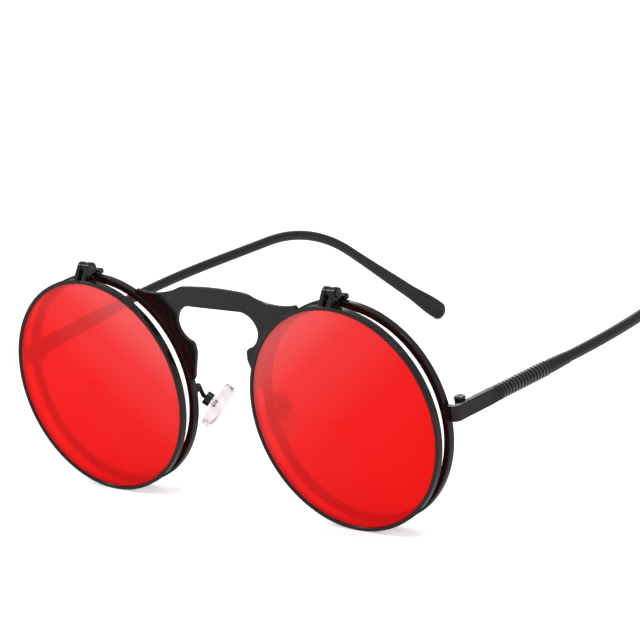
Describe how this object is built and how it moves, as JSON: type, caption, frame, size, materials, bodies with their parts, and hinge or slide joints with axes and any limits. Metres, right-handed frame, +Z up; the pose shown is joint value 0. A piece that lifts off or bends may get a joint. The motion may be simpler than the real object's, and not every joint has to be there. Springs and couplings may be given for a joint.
{
  "type": "flip up sunglasses",
  "caption": "Round metal sunglasses whose red outer lenses flip up on hinges above clear lenses, with a keyhole bridge, nose pads and folding temples.",
  "frame": {"origin": "on the table, below the middle of the box around the glasses", "axes": "+X to the wearer's left, +Y from the lenses back to the ears, +Z up"},
  "size_m": [0.1392, 0.1528, 0.0549],
  "materials": {
    "black_metal": "satin",
    "screw_steel": "satin",
    "red_lens": "gloss",
    "clear_lens": "gloss",
    "clear_pad": "gloss",
    "tip_plastic": "gloss",
    "core_wire": "brushed"
  },
  "bodies": {
    "front": {"bridge_plate": "black_metal", "base_rim_left": "black_metal", "base_lens_left": "clear_lens", "flip_bracket_left": "black_metal", "rim_lock_inner_left": "black_metal", "rim_lock_outer_left": "black_metal", "rim_lock_screw_left": "screw_steel", "end_piece_left": "black_metal", "temple_screw_left": "screw_steel", "nose_pad_arm_left": "black_metal", "nose_pad_box_left": "black_metal", "nose_pad_screw_left": "screw_steel", "base_rim_right": "black_metal", "base_lens_right": "clear_lens", "flip_bracket_right": "black_metal", "rim_lock_inner_right": "black_metal", "rim_lock_outer_right": "black_metal", "rim_lock_screw_right": "screw_steel", "end_piece_right": "black_metal", "temple_screw_right": "screw_steel", "nose_pad_arm_right": "black_metal", "nose_pad_box_right": "black_metal", "nose_pad_screw_right": "screw_steel"},
    "flip_left": {"flip_rim_left": "black_metal", "flip_lens_left": "red_lens", "flip_lug_inner_left": "black_metal", "flip_lug_outer_left": "black_metal", "flip_hinge_screw_left": "screw_steel"},
    "temple_left": {"temple_joint_left": "black_metal", "ribbed_sleeve_left": "black_metal", "temple_collar_left": "black_metal", "temple_wire_left": "core_wire", "temple_tip_left": "tip_plastic"},
    "pad_left": {"nose_pad_left": "clear_pad"},
    "flip_right": {"flip_rim_right": "black_metal", "flip_lens_right": "red_lens", "flip_lug_inner_right": "black_metal", "flip_lug_outer_right": "black_metal", "flip_hinge_screw_right": "screw_steel"},
    "temple_right": {"temple_joint_right": "black_metal", "ribbed_sleeve_right": "black_metal", "temple_collar_right": "black_metal", "temple_wire_right": "core_wire", "temple_tip_right": "tip_plastic"},
    "pad_right": {"nose_pad_right": "clear_pad"}
  },
  "joints": [
    {"name": "flip_left_hinge", "type": "hinge", "parent": "front", "child": "flip_left", "pos_m": [0.03625, -0.07346, 0.05352], "axis": [-1, 0, 0], "range_deg": [0, 95]},
    {"name": "flip_right_hinge", "type": "hinge", "parent": "front", "child": "flip_right", "pos_m": [-0.03625, -0.07346, 0.05352], "axis": [-1, 0, 0], "range_deg": [0, 95]},
    {"name": "temple_left_hinge", "type": "hinge", "parent": "front", "child": "temple_left", "pos_m": [0.06244, -0.06644, 0.02919], "axis": [0, -0.0667, 0.9978], "range_deg": [0, 85]},
    {"name": "temple_right_hinge", "type": "hinge", "parent": "front", "child": "temple_right", "pos_m": [-0.06244, -0.06644, 0.02919], "axis": [0, 0.0667, -0.9978], "range_deg": [0, 70]},
    {"name": "pad_left_rock", "type": "hinge", "parent": "front", "child": "pad_left", "pos_m": [0.01112, -0.06482, 0.02225], "axis": [0.5964, 0.7745, -0.2108], "range_deg": [-6, 6]},
    {"name": "pad_right_rock", "type": "hinge", "parent": "front", "child": "pad_right", "pos_m": [-0.01112, -0.06482, 0.02225], "axis": [0.5964, -0.7745, 0.2108], "range_deg": [-6, 6]}
  ]
}
